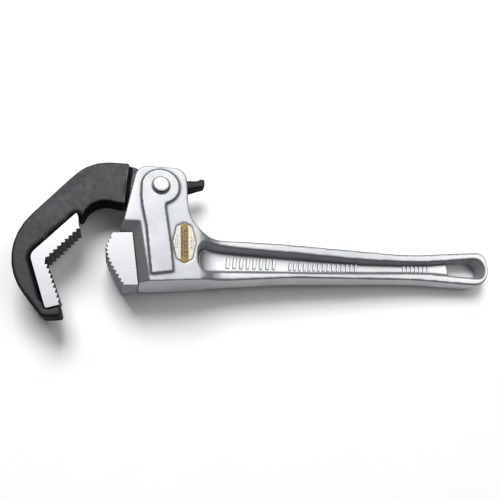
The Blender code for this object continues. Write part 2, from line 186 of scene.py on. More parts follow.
def copy_of(node, name):
    """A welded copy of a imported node's mesh, with its flat faces whole again."""
    solid = bmesh.new()
    solid.from_mesh(frame["nodes"][node].data)
    bmesh.ops.remove_doubles(solid, verts=solid.verts, dist=WELD)
    bmesh.ops.dissolve_limit(solid, angle_limit=COPLANAR, verts=solid.verts, edges=solid.edges)
    mesh = bpy.data.meshes.new(name)
    solid.to_mesh(mesh)
    solid.free()
    return new_object(name, mesh, None)


def bake_modifiers(obj):
    """Replaces an object's mesh by what its modifiers make of it."""
    graph = bpy.context.evaluated_depsgraph_get()
    mesh = bpy.data.meshes.new_from_object(obj.evaluated_get(graph))
    obj.modifiers.clear()
    obj.data = mesh


def points_of(mesh):
    flat = np.zeros(len(mesh.vertices) * 3, np.float32)
    mesh.vertices.foreach_get("co", flat)
    return flat.reshape(-1, 3).astype(float)


def neighbour_mean(values, edges, degree):
    """Each vertex's mean over the vertices it shares an edge with."""
    total = np.empty_like(values)
    for axis in range(values.shape[1]):
        column = values[:, axis]
        total[:, axis] = np.bincount(edges[:, 0], column[edges[:, 1]], len(values))
        total[:, axis] += np.bincount(edges[:, 1], column[edges[:, 0]], len(values))
    return total / degree[:, None]


def soften(node, name, voxel, passes, weight, material, shape=None):
    """A piece with round, cast-looking edges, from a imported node's shape.

    The shape is remeshed finely and smoothed, by each point's own weight. The piece keeps two values on
    its points for the material: how far they stand on an outer edge, and how deep in an inner corner.
    """
    obj = copy_of(node, name)
    remesh = obj.modifiers.new("remesh", "REMESH")
    remesh.mode = "VOXEL"
    remesh.voxel_size = voxel * MM
    bake_modifiers(obj)
    mesh = obj.data
    points = (points_of(mesh) - np.array(PIVOT)) / MM
    edges = np.zeros(len(mesh.edges) * 2, np.int32)
    mesh.edges.foreach_get("vertices", edges)
    edges = edges.reshape(-1, 2)
    degree = np.bincount(edges.ravel(), minlength=len(points)).astype(float)
    if shape:
        points = shape(points)
    share = weight(points)[:, None] * 0.5
    for _ in range(passes):
        points += (neighbour_mean(points, edges, degree) - points) * share
    mesh.vertices.foreach_set("co", (points * MM + np.array(PIVOT)).astype(np.float32).ravel())
    mesh.update()
    normals = np.zeros(len(points) * 3, np.float32)
    mesh.vertices.foreach_get("normal", normals)
    normals = normals.reshape(-1, 3)
    bend = ((neighbour_mean(points, edges, degree) - points) * normals).sum(axis=1, keepdims=True) / voxel
    for _ in range(BEND_BLUR):
        bend = neighbour_mean(bend, edges, degree)
    for label, values in (("edge", -bend), ("corner", bend)):
        attribute = mesh.attributes.new(label, "FLOAT", "POINT")
        attribute.data.foreach_set("value", np.clip(values * BEND_GAIN, 0, 1).astype(np.float32).ravel())
    mesh.shade_smooth()
    mesh.materials.clear()
    mesh.materials.append(material)
    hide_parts(node)
    return obj


def step(low, high, values):
    """0 below low, 1 above high, and smooth in between."""
    t = np.clip((values - low) / (high - low), 0, 1)
    return t * t * (3 - 2 * t)


def machined(node, name, width, material, segments=2):
    """A piece with small even bevels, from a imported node's shape."""
    obj = copy_of(node, name)
    obj.data.shade_smooth()
    bevel = obj.modifiers.new("edges", "BEVEL")
    bevel.width = width * MM
    bevel.segments = segments
    bevel.limit_method = "ANGLE"
    bevel.angle_limit = BEVELLED
    bevel.use_clamp_overlap = False
    normals = obj.modifiers.new("normals", "WEIGHTED_NORMAL")
    normals.weight = 100
    bake_modifiers(obj)
    obj.data.materials.clear()
    obj.data.materials.append(material)
    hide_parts(node)
    return obj


# Materials


class Shader:
    """A Principled material made of a few procedural patterns, in the piece's own coordinates."""

    def __init__(self, name, colour, roughness, metallic):
        self.material = bpy.data.materials.new(name)
        self.material.use_nodes = True
        self.material.diffuse_color = (*colour, 1)
        self.tree = self.material.node_tree
        self.surface = self.tree.nodes["Principled BSDF"]
        self.surface.inputs["Base Color"].default_value = (*colour, 1)
        self.surface.inputs["Roughness"].default_value = roughness
        self.surface.inputs["Metallic"].default_value = metallic
        self.place = self.tree.nodes.new("ShaderNodeTexCoord").outputs["Object"]

    def node(self, kind, inputs, **settings):
        made = self.tree.nodes.new(kind)
        for key, value in settings.items():
            setattr(made, key, value)
        for key, value in inputs.items():
            if isinstance(value, bpy.types.NodeSocket):
                self.tree.links.new(value, made.inputs[key])
            else:
                made.inputs[key].default_value = value
        return made

    def noise(self, size, detail=4.0, rough=0.55, stretch=(1, 1, 1)):
        """Smooth noise whose features are about that many millimetres, from 0 to 1."""
        place = self.node("ShaderNodeMapping", {"Vector": self.place, "Scale": stretch}).outputs[0]
        inputs = {"Vector": place, "Scale": 1 / (size * MM), "Detail": detail, "Roughness": rough}
        return self.node("ShaderNodeTexNoise", inputs).outputs["Fac"]

    def cells(self, size):
        """Distance to the middle of irregular cells of about that size in millimetres."""
        inputs = {"Vector": self.place, "Scale": 1 / (size * MM)}
        return self.node("ShaderNodeTexVoronoi", inputs).outputs["Distance"]

    def span(self, value, low, high, to_low=0.0, to_high=1.0):
        """A value's range stretched to another one, and held at its ends."""
        inputs = {"Value": value, "From Min": low, "From Max": high, "To Min": to_low, "To Max": to_high}
        return self.node("ShaderNodeMapRange", inputs).outputs["Result"]

    def attribute(self, name):
        return self.node("ShaderNodeAttribute", {}, attribute_name=name).outputs["Fac"]

    def math(self, operation, first, second):
        return self.node("ShaderNodeMath", {0: first, 1: second}, operation=operation).outputs[0]

    def mix(self, factor, first, second):
        """A colour between two, each a colour or another mix."""
        first, second = ((*c, 1) if isinstance(c, tuple) else c for c in (first, second))
        made = self.node("ShaderNodeMix", {0: factor, 6: first, 7: second}, data_type="RGBA")
        return made.outputs[2]

    def facing(self, axis):
        """How far the surface faces along one of the piece's own axes, from -1 to 1."""
        normal = self.node("ShaderNodeNewGeometry", {}).outputs["Normal"]
        settings = {"vector_type": "NORMAL", "convert_from": "WORLD", "convert_to": "OBJECT"}
        own = self.node("ShaderNodeVectorTransform", {"Vector": normal}, **settings).outputs[0]
        return self.node("ShaderNodeSeparateXYZ", {0: own}).outputs[axis]

    def up(self):
        """1 where the surface faces straight out of the front or back, 0 on the sides."""
        return self.math("ABSOLUTE", self.facing("Z"), 0.0)

    def mottled(self, size, first, second, detail=4.0):
        """A colour that wanders between two, in patches of about that many millimetres."""
        return self.mix(self.span(self.noise(size, detail), 0.35, 0.65), first, second)

    def drive(self, socket, value):
        self.tree.links.new(value, self.surface.inputs[socket])

    def paint(self, colour):
        self.drive("Base Color", colour)

    def rough(self, size, low, high):
        """Roughness that wanders between two values, in patches of about that many millimetres."""
        self.drive("Roughness", self.span(self.noise(size), 0.3, 0.7, low, high))

    def bump(self, *layers):
        """Adds relief from (height, depth in millimetres) layers."""
        normal = None
        for height, depth in layers:
            inputs = {"Height": height, "Distance": depth * MM, "Strength": 1.0}
            if normal:
                inputs["Normal"] = normal
            normal = self.node("ShaderNodeBump", inputs).outputs["Normal"]
        self.tree.links.new(normal, self.surface.inputs["Normal"])


def cast_aluminium():
    """Matt cast skin: light broad faces, with painted shade dark on every rounded edge and slope and grey on
    the walls.

    The faces carry a painted highlight towards the handle's end, lighter there where the lamps' light falls
    short.
    """
    shader = Shader("cast_aluminium", (0.66, 0.67, 0.69), 0.5, 0.35)
    mottle = shader.span(shader.noise(28), 0.35, 0.65)
    place = shader.node("ShaderNodeSeparateXYZ", {0: shader.place}).outputs
    depth = shader.math("ABSOLUTE", shader.math("SUBTRACT", place["Z"], PIVOT.z), 0.0)
    up = shader.up()
    # Painted light: the recessed web is painted lighter and the head darker than the flanges, to even out
    # how light falls on them.
    head = shader.mix(mottle, (0.42, 0.43, 0.44), (0.48, 0.49, 0.50))
    flange = shader.mix(mottle, (0.57, 0.58, 0.59), (0.64, 0.65, 0.66))
    web = shader.mix(mottle, (0.68, 0.69, 0.70), (0.75, 0.76, 0.77))
    # Painted highlight: the flanges and web are painted lighter towards the handle's end.
    painted_highlight_to_end = shader.span(place["X"], PIVOT.x + 190 * MM, PIVOT.x + 310 * MM)
    flange = shader.mix(painted_highlight_to_end, flange, (0.84, 0.85, 0.86))
    web = shader.mix(painted_highlight_to_end, web, (0.92, 0.93, 0.94))
    face = shader.mix(shader.span(depth, 4.6 * MM, 7.0 * MM), web, flange)
    face = shader.mix(shader.span(depth, 15 * MM, 20 * MM), face, head)
    # Painted shade: the walls are painted grey, and darker inside the pocket than on the outer walls.
    wall = shader.mix(mottle, (0.50, 0.50, 0.52), (0.58, 0.58, 0.60))
    inside = shader.mix(mottle, (0.29, 0.29, 0.31), (0.36, 0.36, 0.38))
    outer = shader.span(place["Y"], PIVOT.y - 70 * MM, PIVOT.y - 76 * MM)
    wall = shader.mix(outer, inside, wall)
    # Painted shade: rounded edges and slopes are painted dark, between the grey walls and the broad faces.
    tone = shader.mix(shader.span(up, 0.2, 0.55), wall, (0.17, 0.17, 0.18))
    tone = shader.mix(shader.span(up, 0.93, 0.995), tone, face)
    speck = shader.span(shader.noise(1.6, 2), 0.62, 0.75, 0, 0.3)
    tone = shader.mix(speck, tone, (0.50, 0.51, 0.53))
    # Painted shade in inner corners.
    tone = shader.mix(shader.span(shader.attribute("corner"), 0.1, 0.9, 0, 0.6), tone, (0.10, 0.10, 0.11))
    shader.paint(tone)
    shader.rough(24, 0.44, 0.56)
    shader.bump((shader.noise(14, 3), 0.12), (shader.noise(1.1, 5, 0.6), 0.05), (shader.cells(0.8), 0.012))
    return shader.material


SHOULDER_LINE = 29.6  # how far left of the pivot the hook's painted highlight line and painted shadow stripe meet
SHOULDER_LEAN = 0.08  # how far that line moves along x for each step along y


def black_forging():
    """Black satin, with painted shade making it blackest on its walls, its edges and its inner corners, a
    painted shadow stripe at its shoulder and a painted highlight line there.
    """
    shader = Shader("black_forging", (0.03, 0.03, 0.035), 0.5, 0.0)
    up = shader.span(shader.up(), 0.80, 0.99)
    place = shader.node("ShaderNodeSeparateXYZ", {0: shader.place}).outputs
    lean = shader.math("MULTIPLY", shader.math("SUBTRACT", place["Y"], PIVOT.y), SHOULDER_LEAN)
    across = shader.math("SUBTRACT", place["X"], lean)
    black = (0.006, 0.006, 0.007)
    satin = shader.mottled(22, (0.016, 0.016, 0.020), (0.027, 0.027, 0.032))
    # Painted shade: black on the walls, the rounded edges and inner corners; satin only on the broad faces.
    tone = shader.mix(up, black, satin)
    tone = shader.mix(shader.span(shader.attribute("edge"), 0.1, 0.5), tone, black)
    tone = shader.mix(shader.span(shader.attribute("corner"), 0.1, 0.9, 0, 0.6), tone, black)
    chips = shader.math("MULTIPLY", shader.attribute("edge"), shader.span(shader.noise(3.5, 6), 0.56, 0.66))
    tone = shader.mix(shader.span(chips, 0.3, 0.9, 0, 0.3), tone, (0.14, 0.14, 0.15))
    shoulder = PIVOT.x - SHOULDER_LINE * MM
    left_of_hub = shader.span(across, PIVOT.x - 4 * MM, PIVOT.x - 8 * MM)
    # Painted highlight: a lighter line along the shoulder's edge.
    painted_highlight_line = shader.span(across, shoulder - 1.1 * MM, shoulder - 0.8 * MM)
    tone = shader.mix(shader.math("MULTIPLY", painted_highlight_line, left_of_hub), tone, (0.09, 0.09, 0.10))
    # Painted shadow: a black stripe between the shoulder and the head's cheek.
    from_line = shader.math("MULTIPLY", shader.span(across, shoulder - 0.3 * MM, shoulder), left_of_hub)
    to_cheek = shader.span(across, shoulder + 4.2 * MM, shoulder + 3.6 * MM)
    painted_shadow_stripe = shader.math("MULTIPLY", from_line, to_cheek)
    tone = shader.mix(painted_shadow_stripe, tone, black)
    shader.paint(tone)
    sheen = shader.span(shader.math("SUBTRACT", up, painted_shadow_stripe), 0, 1, 0.02, 0.30)
    shader.drive("Specular IOR Level", sheen)
    shader.rough(5, 0.44, 0.58)
    shader.bump((shader.noise(9, 3), 0.15), (shader.noise(1.3, 4), 0.05))
    return shader.material


def jaw_steel(name, low, high):
    """Ground bright on its two broad faces, and black on its sides, part dark steel and part painted shade,
    with painted light making them grey where they face along -y.

    The grey lies between low and high.
    """
    shader = Shader(name, (0.60, 0.61, 0.63), 0.42, 0.4)
    lines = shader.noise(1.2, 6, 0.7, (0.05, 1.0, 1.0))
    bright = shader.mix(shader.span(lines, 0.3, 0.7), (0.39, 0.40, 0.41), (0.48, 0.48, 0.50))
    patchy = shader.span(shader.noise(5), 0.35, 0.65)
    black = shader.mix(patchy, (0.002, 0.002, 0.002), (0.005, 0.005, 0.005))
    grey = shader.mix(patchy, (low, low, low * 1.08), (high, high, high * 1.05))
    # Painted light and shade: sides facing along -y are painted grey, the other sides black.
    dark = shader.mix(shader.span(shader.facing("Y"), -0.85, -0.45), grey, black)
    face = shader.span(shader.up(), 0.55, 0.9)
    shader.paint(shader.mix(face, dark, bright))
    shader.drive("Specular IOR Level", shader.span(face, 0, 1, 0.02, 0.5))
    shader.drive("Metallic", shader.span(face, 0, 1, 0.0, 0.4))
    shader.drive("Roughness", shader.span(lines, 0.3, 0.7, 0.36, 0.5))
    shader.bump((lines, 0.012), (shader.noise(7, 2), 0.04))
    return shader.material


def zinc_steel():
    """Turned and zinc plated, with painted shade dark round the rim, and fine rings about the pivot's axis.
    """
    shader = Shader("zinc_steel", (0.78, 0.78, 0.76), 0.42, 0.35)
    about_pivot = {"Vector": shader.place, "Location": tuple(-PIVOT)}
    centre = shader.node("ShaderNodeMapping", about_pivot).outputs[0]
    rings = shader.node(
        "ShaderNodeTexWave",
        {"Vector": centre, "Scale": 1 / (3 * MM), "Distortion": 0.6, "Detail": 2.0, "Detail Scale": 2.0},
        wave_type="RINGS",
        rings_direction="Z",
    ).outputs["Fac"]
    bright = shader.mottled(4, (0.72, 0.72, 0.70), (0.84, 0.84, 0.82))
    # Painted shade: the sides are dark, the broad faces bright.
    shader.paint(shader.mix(shader.span(shader.up(), 0.3, 0.75), (0.07, 0.07, 0.075), bright))
    shader.rough(2.5, 0.38, 0.48)
    shader.bump((rings, 0.0015), (shader.noise(3, 2), 0.002))
    return shader.material


def plain_steel():
    shader = Shader("plain_steel", (0.45, 0.46, 0.48), 0.34, 0.95)
    shader.paint(shader.mottled(3, (0.36, 0.37, 0.39), (0.54, 0.55, 0.57)))
    shader.rough(1.5, 0.26, 0.42)
    shader.bump((shader.noise(0.6, 4), 0.01), (shader.noise(4, 2), 0.02))
    return shader.material


def black_screw():
    shader = Shader("black_screw", (0.05, 0.05, 0.05), 0.38, 0.7)
    shader.paint(shader.mottled(2, (0.035, 0.035, 0.04), (0.075, 0.075, 0.08)))
    shader.rough(1, 0.3, 0.46)
    shader.bump((shader.noise(0.7, 4), 0.01))
    return shader.material


def sintered_bronze():
    shader = Shader("sintered_bronze", (0.55, 0.37, 0.16), 0.45, 0.9)
    pores = shader.cells(0.35)
    tone = shader.mottled(4, (0.46, 0.29, 0.12), (0.66, 0.45, 0.20))
    shader.paint(shader.mix(shader.span(pores, 0.0, 0.3, 0.5, 0), tone, (0.20, 0.13, 0.06)))
    shader.rough(2, 0.36, 0.52)
    shader.bump((pores, 0.02))
    return shader.material


def foil(name, dark, light, metallic):
    """Printed foil: one ink, with the foil's fine grain and slight waviness."""
    shader = Shader(name, light, 0.4, metallic)
    shader.paint(shader.mottled(2.2, dark, light, 5))
    shader.rough(3, 0.34, 0.48)
    shader.bump((shader.noise(5, 2), 0.03), (shader.noise(0.4, 3), 0.006))
    return shader.material


def floor_paper():
    shader = Shader("floor_paper", (0.93, 0.93, 0.93), 0.85, 0.0)
    shader.paint(shader.mottled(60, (0.925, 0.925, 0.925), (0.935, 0.935, 0.935)))
    return shader.material


MATERIALS = {
    "cast_aluminium": cast_aluminium(),
    "black_forging": black_forging(),
    # The sides' grey is painted light, lighter on the heel than on the insert.
    "insert_steel": jaw_steel("insert_steel", 0.06, 0.12),
    "heel_steel": jaw_steel("heel_steel", 0.20, 0.32),
    "bright_steel": zinc_steel(),
    "plain_steel": plain_steel(),
    "black_screw": black_screw(),
    "bronze": sintered_bronze(),
}


def settle(obj, body):
    """Puts a finished piece on its body."""
    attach(obj, body)
    return obj


# The handle casting

WEB_HALF = 3.5
HEAD_HALF = 22.0
BOSS_HALF = 24.0
HEAD_END = 30.0  # where the head starts to run into the handle
HANDLE_START = 44.0
SLOT_ROOM = 12.0  # half the height within which the hook's slot and its walls lie
SLOT_END = 20.0
POCKET_START = 28.0
POCKET_LOW = -77.0
POCKET_HIGH = -48.0
SCOOP_LENGTH = 26.0
SCOOP_END = 58.0
SCOOP_RISE = 6.5


def handle_weight(points):
    """How soft the casting's edges are: soft along the handle, and crisper on the head."""
    x, _, z = points.T
    weight = 1.0 - 0.9 * step(HANDLE_START, HEAD_END, x)
    inside = (np.abs(z) < SLOT_ROOM) & (x < SLOT_END)
    weight[inside] = 0.2
    return weight


def handle_shape(points):
    """Scoops the web up towards the head, at the pocket's near end."""
    x, y, z = points.T
    web = (np.abs(z) < WEB_HALF + 1.5) & (np.abs(z) > WEB_HALF - 1.0)
    web &= (x > POCKET_START) & (x < SCOOP_END) & (y < POCKET_HIGH) & (y > POCKET_LOW)
    rise = SCOOP_RISE * (np.clip(SCOOP_END - x, 0, SCOOP_LENGTH) / SCOOP_LENGTH) ** 2
    z[web] += (np.sign(z) * rise)[web]
    return points


def make_handle():
    aluminium = MATERIALS["cast_aluminium"]
    smoothing = {"voxel": 0.8, "passes": 24, "weight": handle_weight}
    obj = soften("handle", "handle_casting", **smoothing, material=aluminium, shape=handle_shape)
    settle(obj, "handle_body")


BAR_GROUPS = (
    # first x, last x, low y, high y, pitch, width
    (60.0, 107.0, -69.0, -58.4, 5.9, 3.0),
    (120.0, 190.0, -69.4, -61.4, 5.0, 2.5),
    (240.0, 270.0, -68.6, -61.4, 4.3, 2.1),
)
BAR_HEIGHT = 0.9
BAR_LEAN = 1.6  # how far a bar's top leans towards the handle's end


def make_bars(side, word):
    """Plain leaning bars, raised on the web."""
    solid = bmesh.new()
    for first, last, low, high, pitch, width in BAR_GROUPS:
        count = int((last - first) / pitch) + 1
        for i in range(count):
            x = first + i * (last - first - width) / (count - 1)
            corners = [(x, low), (x + width, low), (x + width + BAR_LEAN, high), (x + BAR_LEAN, high)]
            outline = rounded([(*corner, 0.7) for corner in corners], 30)
            rings = [
                (offset(outline, 0.35), -0.3),
                (offset(outline, 0.35), 0.0),
                (offset(outline, 0.08), 0.22),
                (outline, BAR_HEIGHT * 0.7),
                (offset(outline, -0.12), BAR_HEIGHT * 0.92),
                (offset(outline, -0.35), BAR_HEIGHT),
            ]
            loft(solid, [(ring, side * (WEB_HALF + z)) for ring, z in rings])
    obj = finish_mesh(f"cast_bars_{word}", solid, MATERIALS["cast_aluminium"], sharp=50)
    settle(obj, "handle_body")


# The label

LABEL_CENTRE = (20.6, -51.4)
LABEL_INKS = [
    foil("label_cream", (0.50, 0.47, 0.41), (0.64, 0.61, 0.54), 0.15),
    foil("label_edge", (0.15, 0.13, 0.07), (0.24, 0.21, 0.12), 0.2),
    foil("label_gold", (0.15, 0.10, 0.010), (0.26, 0.185, 0.025), 0.3),
    foil("label_ink", (0.03, 0.018, 0.007), (0.06, 0.034, 0.014), 0.1),
    foil("label_grey", (0.22, 0.20, 0.18), (0.32, 0.30, 0.27), 0.1),
]
CREAM, EDGE, GOLD, INK, GREY = range(5)


def label_outline():
    right = [(0, 18.5), (7.0, 14.6), (10.4, 0), (7.0, -14.6)]
    corners = right + [(-x, -y) for x, y in right]
    return rounded([(LABEL_CENTRE[0] + x, LABEL_CENTRE[1] + y, 1.6) for x, y in corners], 20)


def make_label(side, word):
    """Foil with a thin border, two pale fields, a gold band and rows of plain marks."""
    top = HEAD_HALF + 0.02
    solid = bmesh.new()
    outline = label_outline()

    def layer(shape, low, high, ink):
        loft(solid, [(shape, side * low), (shape, side * high)], ink)

    def dash(x, y, width, length, ink):
        x, y = x + LABEL_CENTRE[0], y + LABEL_CENTRE[1]
        w, h = width / 2, length / 2
        layer([(x - w, y - h), (x + w, y - h), (x + w, y + h), (x - w, y + h)], top, top + 0.07, ink)

    layer(offset(outline, -0.1), HEAD_HALF - 0.7, top - 0.03, EDGE)
    layer(offset(outline, -0.75), HEAD_HALF - 0.7, top, CREAM)
    band = [(0, 18.3), (3.4, 16.4), (3.4, -16.4), (0, -18.3), (-3.4, -16.4), (-3.4, 16.4)]
    band = [(LABEL_CENTRE[0] + x, LABEL_CENTRE[1] + y) for x, y in band]
    layer(band, top - 0.05, top + 0.03, GOLD)
    for column, lengths in ((-2.1, (3.4, 1.6, 2.4)), (0.0, (2.2, 2.8, 1.4)), (2.1, (1.8, 3.0, 2.2))):
        y = -13.2
        for i in range(8):
            length = lengths[i % 3]
            dash(column, y + length / 2, 1.3, length, INK)
            y += length + 1.0
    for column, lengths in ((-6.2, (1.6, 2.6)), (-7.9, (1.2, 1.2)), (6.0, (2.2, 1.4)), (7.7, (1.0, 1.6))):
        y = -5.6
        for i in range(4):
            length = lengths[i % 2]
            dash(column, y + length / 2, 0.9, length, GREY)
            y += length + 1.1
    obj = finish_mesh(f"label_{word}_print", solid, None)
    for material in LABEL_INKS:
        obj.data.materials.append(material)
    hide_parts(f"label_{word}")
    settle(obj, "handle_body")


# The hook jaw

HUB_HALF = 7.9
SHOULDER_RADIUS = 28.3  # where the hub starts to thicken into the hook's body
SHOULDER_SLOPE = 0.45
LEVER_START = 23.0
LEVER_TIP = 43.0
LEVER_THINNING = 0.32
SEAT_GROOVE = 3.6  # how far from the insert the forging's face falls away
SEAT_DROP = 2.6
SEAT_RIGHT = -66.0
SEAT_LOW = -101.0
SEAT_DEEP = 6.0  # only what stands further out of the middle plane is lowered
CRISP_REACH, SOFT_REACH = 36.0, 42.0  # from the pivot's axis
CRISP_RIGHT, SOFT_RIGHT = 8.0, 16.0  # along x, towards the lever


def hook_shape(points):
    """Slopes the shoulder beside the head, thins the lever towards its tip, and cuts the seat's chamfer."""
    x, y, z = points.T
    reach = np.hypot(x, y)
    limit = HUB_HALF + np.maximum(reach - SHOULDER_RADIUS, 0) * SHOULDER_SLOPE
    shoulder = (np.abs(z) > limit) & (x < 20)
    z[shoulder] = (np.sign(z) * limit)[shoulder]
    z *= 1 - LEVER_THINNING * step(LEVER_START, LEVER_TIP, x)
    return seat_groove(points)


def seat_groove(points):
    """Lets the forging's broad faces fall away towards the insert, as a chamfer round its seat."""
    insert = BVHTree.FromObject(frame["nodes"]["hook_insert"], bpy.context.evaluated_depsgraph_get())
    x, y, z = points.T
    near = (x < SEAT_RIGHT) & (y > SEAT_LOW) & (np.abs(z) > SEAT_DEEP)
    for i in np.nonzero(near)[0]:
        distance = insert.find_nearest(at(x[i], y[i]), 20 * MM)[3]
        if distance is None:
            continue
        fall = max(0.0, 1 - distance / MM / SEAT_GROOVE)
        z[i] = math.copysign(abs(z[i]) - SEAT_DROP * fall, z[i])
    return points


def hook_weight(points):
    """Soft on the outer body, crisp at the hub, which runs between the cheeks, and at its shoulder."""
    x, y, _ = points.T
    crisp = step(SOFT_REACH, CRISP_REACH, np.hypot(x, y)) * step(SOFT_RIGHT, CRISP_RIGHT, x)
    return 1.0 - 0.8 * crisp


def make_hook():
    black = MATERIALS["black_forging"]
    smoothing = {"voxel": 0.6, "passes": 18, "weight": hook_weight}
    obj = soften("hook_jaw", "hook_forging", **smoothing, material=black, shape=hook_shape)
    settle(obj, "hook_body")
    insert = machined("hook_insert", "hook_insert_ground", 0.3, MATERIALS["insert_steel"])
    settle(insert, "hook_body")


def make_heel():
    heel = machined("heel_jaw", "heel_jaw_ground", 0.4, MATERIALS["heel_steel"])
    settle(heel, "handle_body")


# The pivot, its washers and its snap ring

SLOT_HALF = 9.5
PIN_RADIUS = 5.5


def stand_for(obj, body, slot, *nodes):
    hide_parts(*nodes)
    return settle(obj, body)


def ring_profile(inner, outer, low, high, fillet):
    return [(inner, low, fillet), (outer, low, fillet), (outer, high, fillet), (inner, high, fillet)]


def make_pin():
    neck = BOSS_HALF + 1.6
    profile = [
        (0, -23.7),
        (4.9, -23.7, 0.3),
        (PIN_RADIUS, -23.2, 0.2),
        (PIN_RADIUS, -22.7, 0.1),
        (4.8, -22.7, 0.1),
        (4.8, -21.3, 0.1),
        (PIN_RADIUS, -21.3, 0.1),
        (PIN_RADIUS, neck, 0.1),
        (6.7, neck, 0.25),
        (6.7, neck + 1.5, 0.5),
        (5.2, neck + 2.25, 2.0),
        (0, neck + 2.4),
    ]
    pin = turned("pivot_pin_turned", profile, MATERIALS["bright_steel"])
    stand_for(pin, "handle_body", "bright_steel", "pivot_pin")


def make_pivot_rings():
    """The bush and the washers, each between two heights along the pivot's axis."""
    inner = PIN_RADIUS + 0.2
    near, far = HUB_HALF + 0.25, SLOT_HALF - 0.25
    washer = BOSS_HALF + 0.2
    rings = [
        # node, body, slot, inner radius, outer radius, low end, high end, fillet
        ("pivot_bush", "hook_body", "bronze", PIN_RADIUS + 0.1, 7.5, -HUB_HALF, HUB_HALF, 0.4),
        ("thrust_washer_front", "handle_body", "bronze", inner, 14.0, near, far, 0.25),
        ("thrust_washer_back", "handle_body", "bronze", inner, 14.0, -far, -near, 0.25),
        ("pivot_washer_front", "handle_body", "black_screw", inner, 8.2, washer, washer + 1.1, 0.25),
        ("pivot_washer_back", "handle_body", "bright_steel", inner, 8.8, -21.0, -20.6, 0.12),
    ]
    for node, body, slot, low_radius, high_radius, low, high, fillet in rings:
        profile = ring_profile(low_radius, high_radius, low, high, fillet)
        stand_for(turned(f"{node}_turned", profile, MATERIALS[slot]), body, slot, node)


def make_snap_ring():
    """A sprung clip in the pin's groove, open between its two ends."""
    solid = bmesh.new()
    inner = arc((0, 0), 5.0, 35, 325, 60)
    outer = arc((0, 0), 8.0, 325, 35, 60)
    outline = [(-y, x) for x, y in inner + outer]
    rim = offset(outline, -0.12)
    loft(solid, [(rim, -22.5), (outline, -22.38), (outline, -21.62), (rim, -21.5)])
    ring = finish_mesh("pivot_retaining_ring_sprung", solid, MATERIALS["plain_steel"])
    stand_for(ring, "handle_body", "plain_steel", "pivot_retaining_ring")


HEEL_PINS = (("upper", -5.3, -57.0), ("lower", -3.6, -73.0))
HEEL_PIN_LOW = -22.6
HEEL_PIN_HIGH = 13.1
HEEL_PIN_RADIUS = 2.3
CHAMFER = 0.4


def make_heel_pins():
    tip = HEEL_PIN_RADIUS - CHAMFER
    profile = [
        (0, HEEL_PIN_LOW),
        (tip, HEEL_PIN_LOW, 0.2),
        (HEEL_PIN_RADIUS, HEEL_PIN_LOW + CHAMFER, 0.3),
        (HEEL_PIN_RADIUS, HEEL_PIN_HIGH - CHAMFER, 0.3),
        (tip, HEEL_PIN_HIGH, 0.2),
        (0, HEEL_PIN_HIGH),
    ]
    for word, x, y in HEEL_PINS:
        place = aim((x, y, 0), (0, 0, 1))
        pin = turned(f"heel_jaw_pin_{word}_ground", profile, MATERIALS["plain_steel"], place, 48)
        stand_for(pin, "handle_body", "plain_steel", f"heel_jaw_pin_{word}")


# The insert's screws

UPPER_BACK = ((-69.4, -24.4), (-103.9, -63.1))  # the insert's upper back face
SCREWS = {"insert_screw_upper": (0.22, 18.6), "insert_screw_lower": (0.66, 17.0)}
SCREW_RADIUS = 2.9
HEAD_RADIUS = 4.8
HEAD_HEIGHT = 5.0
HEX_RADIUS = 2.9
HEX_FLOOR = 2.6
KNURLS = 36


def make_screw(node, share, seat):
    """A socket head cap screw: threaded shank, knurled head and a hexagon socket with a chamfer."""
    a, b = Vector(UPPER_BACK[0]), Vector(UPPER_BACK[1])
    along = (b - a).normalized()
    place = aim((*a.lerp(b, share), 0), (along.y, -along.x, 0))
    steps = KNURLS * 4
    angles = [math.tau * i / steps for i in range(steps)]
    solid = bmesh.new()
    rows = []

    def row(radius_at, z):
        reach = [(t, radius_at(t)) for t in angles]
        rows.append([solid.verts.new((r * math.cos(t), r * math.sin(t), z)) for t, r in reach])

    def hexagon(t):
        twelfth = math.pi / 6
        return HEX_RADIUS * math.cos(twelfth) / math.cos((t + twelfth) % (2 * twelfth) - twelfth)

    pitch, depth = 1.0, 0.35
    z = -5.5
    row(lambda t: SCREW_RADIUS - 0.7, z)
    while z < seat - 1.5:
        z += 0.25
        row(lambda t: SCREW_RADIUS - depth * abs(math.sin(math.pi * z / pitch - t / 2)), z)
    foot, top = seat + 0.3, seat + HEAD_HEIGHT
    row(lambda t: SCREW_RADIUS - 0.1, z + 0.3)
    row(lambda t: SCREW_RADIUS - 0.1, foot)
    row(lambda t: HEAD_RADIUS - 0.25, foot)
    row(lambda t: HEAD_RADIUS - 0.1, foot + 0.2)

    def knurl(t):
        return HEAD_RADIUS - 0.16 * (0.5 + 0.5 * math.cos(KNURLS * t))

    row(knurl, foot + 0.5)
    row(knurl, top - 0.8)
    row(lambda t: HEAD_RADIUS - 0.12, top - 0.5)
    row(lambda t: HEAD_RADIUS - 0.5, top)
    row(lambda t: HEX_RADIUS + 0.35, top)
    row(hexagon, top - 0.4)
    row(hexagon, seat + HEX_FLOOR)
    solid.faces.new(rows[0])
    solid.faces.new(rows[-1])
    for low, high in zip(rows, rows[1:]):
        for i in range(steps):
            j = (i + 1) % steps
            solid.faces.new((low[i], low[j], high[j], high[i]))
    screw = finish_mesh(f"{node}_knurled", solid, MATERIALS["black_screw"], place, 30)
    stand_for(screw, "hook_body", "black_screw", node)


# The closing spring

CAM_RADIUS = 8.0
CAM_HEIGHT = 19.6
BORE_FLOOR = -62.0
SPRING_TOP = -25.6
SPRING_FLOOR = -60.2
SPRING_COIL = 3.9
SPRING_WIRE = 0.75
SPRING_TURNS = 10


